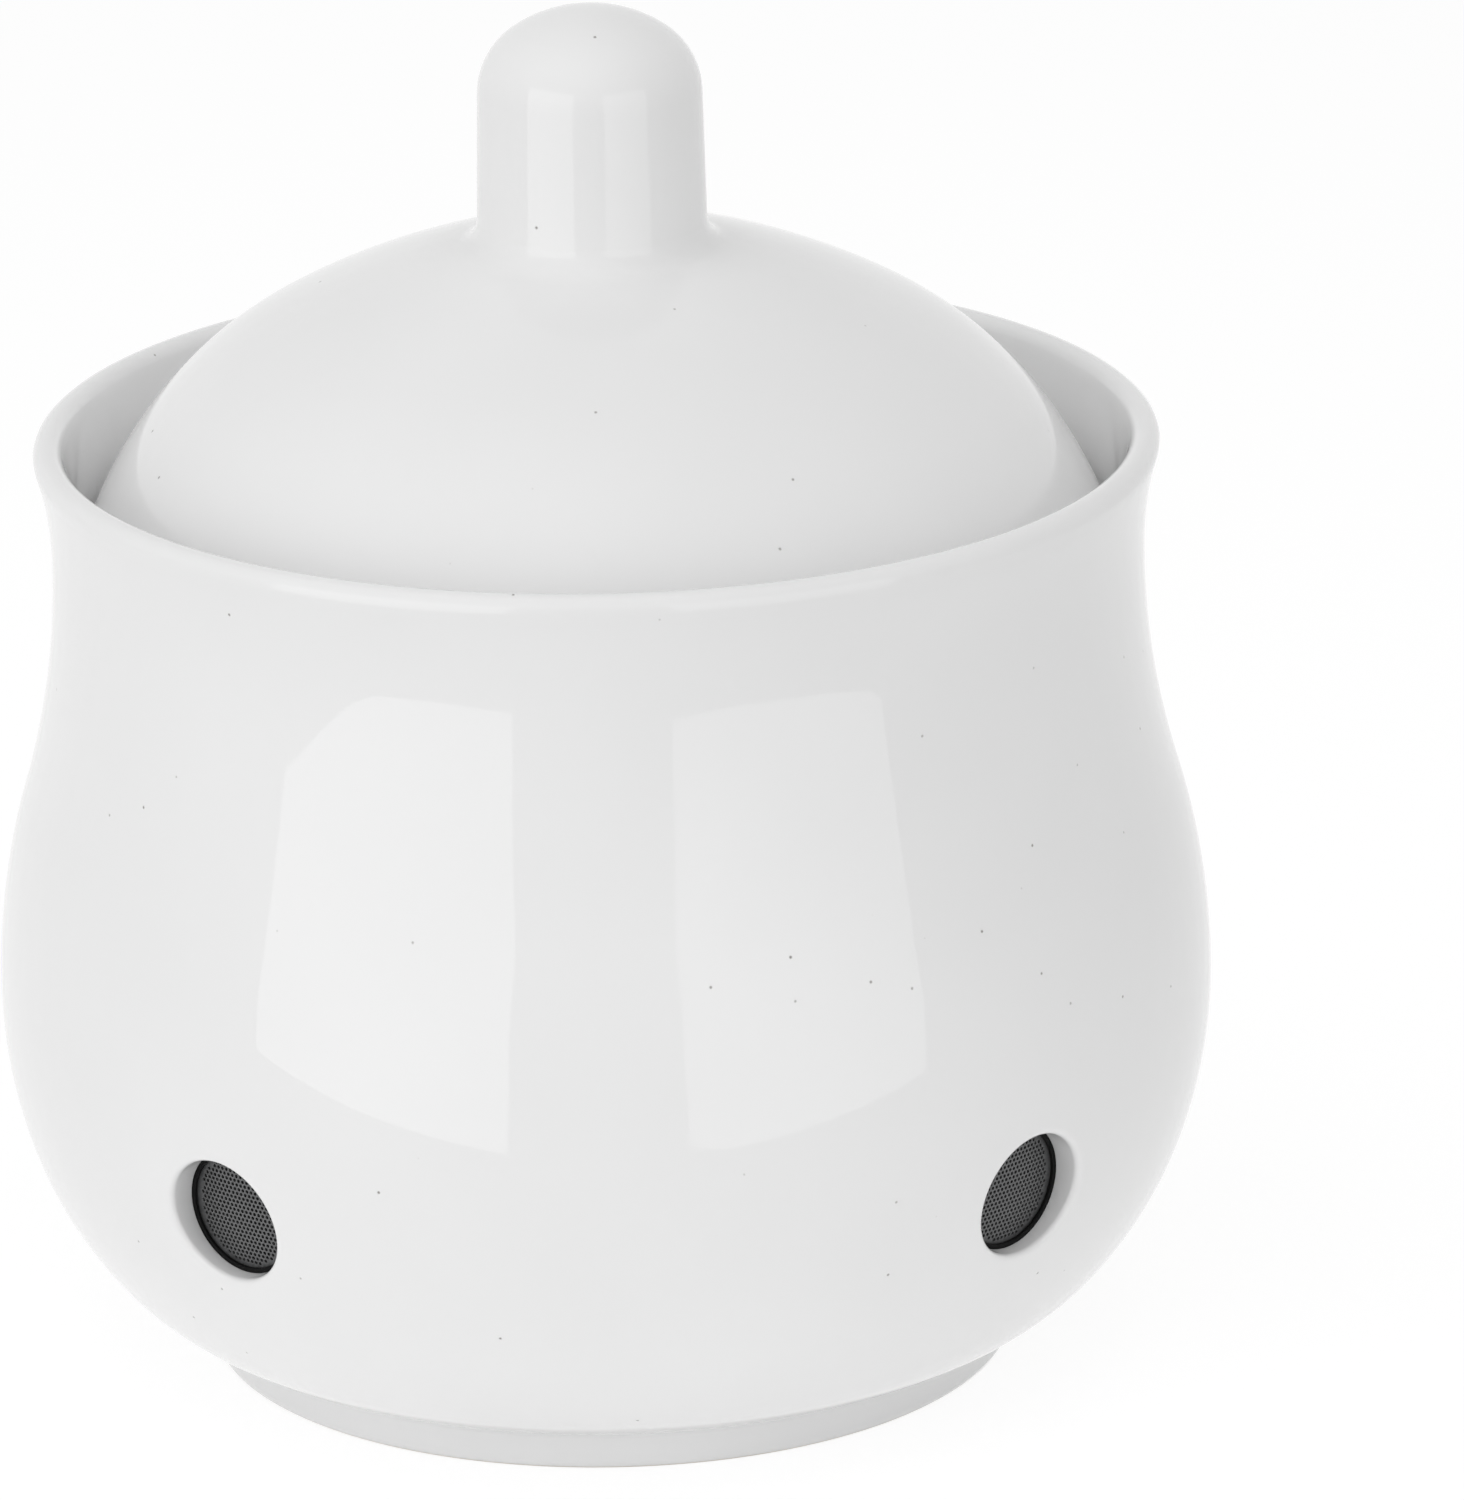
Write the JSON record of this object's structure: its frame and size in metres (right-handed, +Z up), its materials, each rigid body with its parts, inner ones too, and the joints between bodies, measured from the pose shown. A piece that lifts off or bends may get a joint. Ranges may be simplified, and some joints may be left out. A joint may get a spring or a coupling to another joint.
{
  "type": "garlic keeper",
  "caption": "Bellied glazed ceramic jar with a domed, tall-knobbed lid that drops into its neck, and low round air vents closed by perforated screens in dark seals.",
  "frame": {"origin": "middle of the foot ring, on the surface that it rests on", "axes": "+Z up along the pot's turning axis, front of the pot towards -Y, +X to the right seen from the front"},
  "size_m": [0.13, 0.13, 0.1476],
  "materials": {
    "pot_glaze": "gloss white glaze",
    "lid_glaze": "gloss white glaze",
    "vent_seal": "matt black",
    "vent_screen": "satin dark grey"
  },
  "bodies": {
    "pot": {"pot": "pot_glaze", "vent_seal_front_right": "vent_seal", "vent_seal_back_right": "vent_seal", "vent_seal_back_left": "vent_seal", "vent_seal_front_left": "vent_seal", "vent_screen_front_right": "vent_screen", "vent_screen_back_right": "vent_screen", "vent_screen_back_left": "vent_screen", "vent_screen_front_left": "vent_screen"},
    "lid": {"lid": "lid_glaze"}
  },
  "joints": [
    {"name": "lid_lift", "type": "slide", "parent": "pot", "child": "lid", "axis": [0, 0, 1], "range_m": [0, 0.06]}
  ]
}
